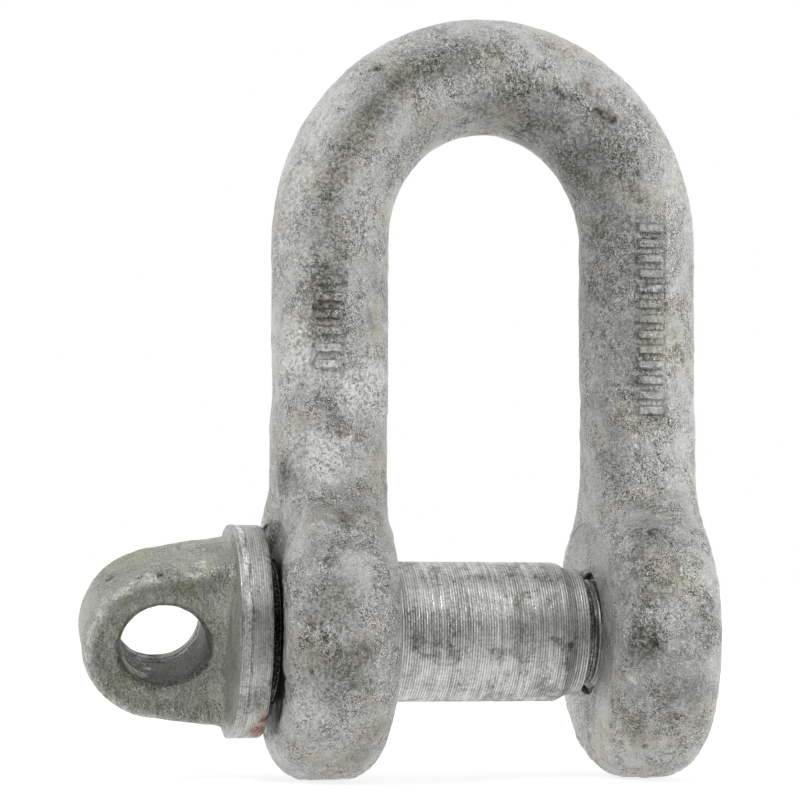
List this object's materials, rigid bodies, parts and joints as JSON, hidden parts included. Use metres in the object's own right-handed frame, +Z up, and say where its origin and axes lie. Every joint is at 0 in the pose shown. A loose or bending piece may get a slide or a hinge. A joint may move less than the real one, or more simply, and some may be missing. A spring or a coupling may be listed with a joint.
{
  "type": "dee shackle",
  "caption": "Forged and galvanised dee shackle with straight legs, flattened ears and a screw collar pin whose eye head takes a bar for tightening.",
  "frame": {"origin": "on the pin's axis, half way between the two ears", "axes": "+X along the pin towards the tapped ear, +Z up to the crown, -Y the front"},
  "size_m": [0.0712, 0.0334, 0.0877],
  "materials": {
    "body_zinc": "hot-dip galvanised over a rough forging, matt and weathered",
    "pin_zinc": "galvanised forged head, turned collar and shank"
  },
  "bodies": {
    "body": {"shackle_body": "body_zinc"},
    "pin": {"screw_pin": "pin_zinc"}
  },
  "joints": [
    {"name": "pin_withdraw", "type": "slide", "parent": "body", "child": "pin", "axis": [1, 0, 0], "range_m": [-0.0515, 0.00118]}
  ]
}
